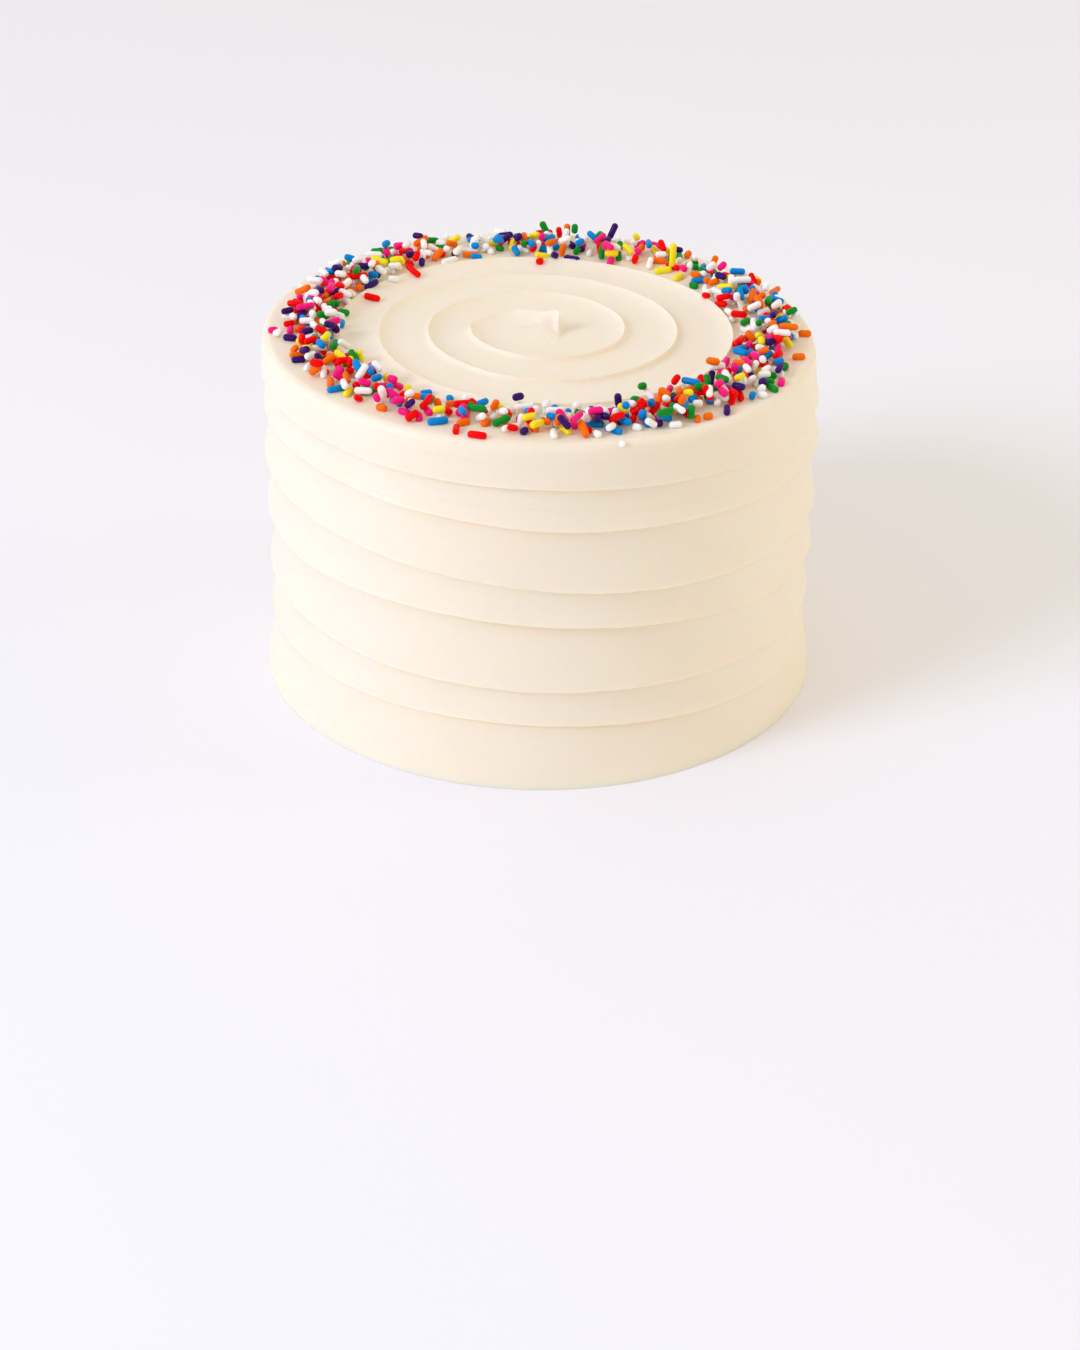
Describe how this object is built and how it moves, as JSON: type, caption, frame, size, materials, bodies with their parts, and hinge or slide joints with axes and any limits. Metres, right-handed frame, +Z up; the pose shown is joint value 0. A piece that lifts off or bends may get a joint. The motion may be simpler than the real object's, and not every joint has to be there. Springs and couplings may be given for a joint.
{
  "type": "sprinkle cake",
  "caption": "Round frosted cake with a helix of spatula ridges on the side, a spiral on top and a wreath of sprinkles.",
  "frame": {"origin": "middle of the flat base of the cake", "axes": "+Z up along the cake's axis, the pictured front faces -Y, +X to the viewer's right"},
  "size_m": [0.174, 0.174, 0.1151],
  "materials": {
    "frosting": "soft satin buttercream, ivory",
    "sprinkle_white": "waxy, white",
    "sprinkle_red": "waxy, red",
    "sprinkle_orange": "waxy, orange",
    "sprinkle_yellow": "waxy, yellow",
    "sprinkle_green": "waxy, green",
    "sprinkle_blue": "waxy, blue",
    "sprinkle_purple": "waxy, dark purple",
    "sprinkle_pink": "waxy, pink"
  },
  "bodies": {
    "root": {"frosted_cake": "frosting"}
  },
  "joints": []
}
